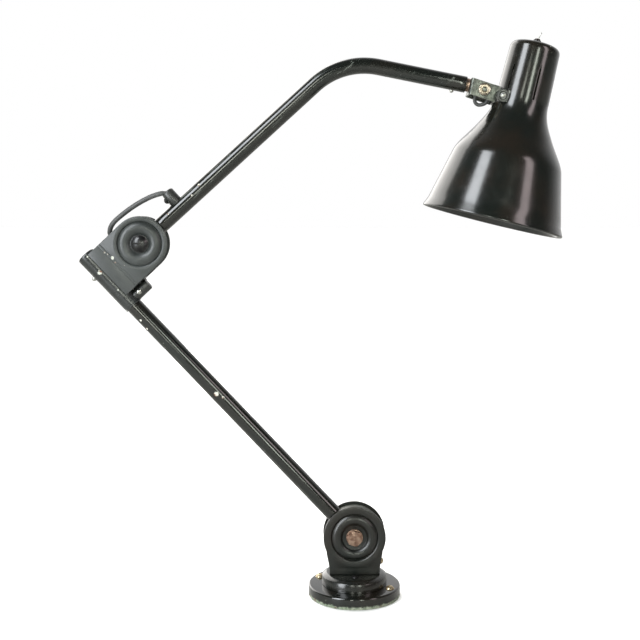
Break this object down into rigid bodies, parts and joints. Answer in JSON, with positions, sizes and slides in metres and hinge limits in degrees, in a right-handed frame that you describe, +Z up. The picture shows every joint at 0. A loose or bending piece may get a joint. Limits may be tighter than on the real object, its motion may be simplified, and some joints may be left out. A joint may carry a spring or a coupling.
{
  "type": "architect desk lamp",
  "caption": "Jointed desk lamp: round base, swivelling turret, straight lower arm, elbow, bent upper arm and a tilting bell shade with a bulb inside.",
  "frame": {"origin": "centre of the base's underside, in the middle of its screw circle", "axes": "+Z up, the lower arm leans towards -X and the shade hangs on the +X side, so the lamp is seen from -Y"},
  "size_m": [0.5604, 0.1644, 0.6533],
  "materials": {
    "black_enamel": "glossy, chipped",
    "grey_paint": "satin, worn",
    "brass": "worn",
    "copper": "dull",
    "rusty_steel": "rusty",
    "bare_steel": "dull",
    "black_steel": "glossy",
    "flex": "satin",
    "black_rubber": "matt",
    "bakelite": "glossy",
    "cap_metal": "satin",
    "bulb_glass": "frosted"
  },
  "bodies": {
    "base": {"base_flange": "black_enamel", "base_screws": "brass", "cord_gland": "black_rubber"},
    "turret": {"turret": "black_enamel", "turret_screws": "black_steel", "swivel_stud": "bare_steel", "swivel_washer": "bare_steel", "swivel_nut": "bare_steel", "lower_cheek_front": "black_enamel", "lower_cheek_back": "black_enamel", "lower_pivot_bolt": "rusty_steel", "lower_pivot_washers": "bare_steel", "lower_pivot_nut": "rusty_steel", "neck_side_screw": "brass"},
    "lower_arm": {"lower_drum": "bare_steel", "lower_tube": "black_enamel", "lower_flex": "flex"},
    "elbow": {"elbow_sleeve": "black_enamel", "sleeve_screw": "bare_steel", "elbow_saddle": "grey_paint", "elbow_cover_front": "grey_paint", "elbow_cover_back": "grey_paint", "elbow_pivot_screw": "black_steel", "elbow_pivot_washer": "bare_steel", "elbow_pivot_nut": "rusty_steel", "lower_cable_entry": "black_enamel", "lower_entry_screw": "black_steel", "elbow_cable": "flex"},
    "upper_arm": {"elbow_drum": "bare_steel", "upper_tube": "black_enamel", "upper_cable_entry": "black_enamel", "upper_entry_screw": "black_steel", "upper_flex": "flex", "tip_screw": "bare_steel", "head_nipple": "copper", "nipple_nut": "brass"},
    "bracket": {"head_bracket": "bare_steel", "head_pivot_bolt": "brass", "head_pivot_nut": "brass", "head_cable": "flex"},
    "shade": {"shade_yoke": "black_enamel", "yoke_screws": "bare_steel", "shade_shell": "black_enamel", "cable_grommet": "black_rubber", "holder_plate": "bare_steel", "lampholder": "bakelite", "bulb_cap": "cap_metal", "bulb_glass": "bulb_glass", "switch_body": "bakelite", "switch_nut": "black_steel"},
    "lever": {"switch_lever": "bare_steel"}
  },
  "joints": [
    {"name": "base_swivel", "type": "hinge", "parent": "base", "child": "turret", "pos_m": [0, 0, 0], "axis": [0, 0, 1], "range_deg": [-150, 150]},
    {"name": "lower_tilt", "type": "hinge", "parent": "turret", "child": "lower_arm", "pos_m": [0, 0, 0.068], "axis": [0, 1, 0], "range_deg": [-35, 75]},
    {"name": "elbow_swivel", "type": "hinge", "parent": "lower_arm", "child": "elbow", "pos_m": [0, 0, 0.068], "axis": [-0.6921, 0, 0.7218], "range_deg": [-60, 60]},
    {"name": "elbow_tilt", "type": "hinge", "parent": "elbow", "child": "upper_arm", "pos_m": [-0.24797, 0, 0.40699], "axis": [0, 1, 0], "range_deg": [-60, 45], "deforming": ["elbow_cable"]},
    {"name": "head_swivel", "type": "hinge", "parent": "upper_arm", "child": "bracket", "pos_m": [0.12984, 0, 0.59209], "axis": [0.9803, 0, -0.1977], "range_deg": [-90, 90]},
    {"name": "head_tilt", "type": "hinge", "parent": "bracket", "child": "shade", "pos_m": [0.14938, 0, 0.58479], "axis": [0, 1, 0], "range_deg": [-70, 45], "deforming": ["head_cable"]},
    {"name": "switch_toggle", "type": "hinge", "parent": "shade", "child": "lever", "pos_m": [0.2128, 0, 0.64136], "axis": [0, -1, 0], "range_deg": [0, 20]}
  ]
}
